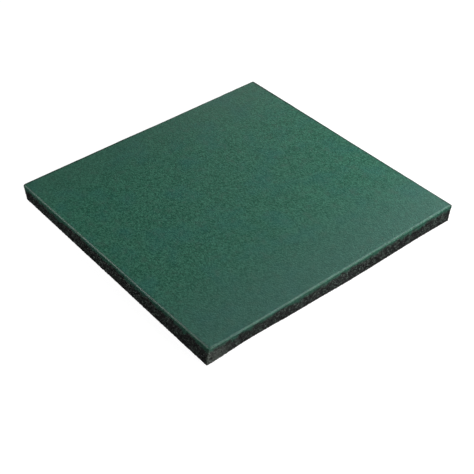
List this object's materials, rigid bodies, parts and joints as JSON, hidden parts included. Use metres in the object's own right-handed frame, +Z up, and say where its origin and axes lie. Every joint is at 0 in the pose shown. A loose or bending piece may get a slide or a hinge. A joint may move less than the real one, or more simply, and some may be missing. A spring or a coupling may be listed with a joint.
{
  "type": "rubber floor tile",
  "caption": "Square pressed-granulate rubber floor tile with a green walking face, rounded top edges and a black base, laid loose or glued on a level floor.",
  "frame": {"origin": "middle of the underside", "axes": "+Z up through the thickness, out of the walking face; X and Y square to the sides"},
  "size_m": [0.4994, 0.4994, 0.03],
  "materials": {
    "pressed_granulate": "matte pressed rubber granulate: fine green grain on the walking face and the upper third of the sides, fading into black granulate below"
  },
  "bodies": {
    "root": {"rubber_tile": "pressed_granulate"}
  },
  "joints": []
}
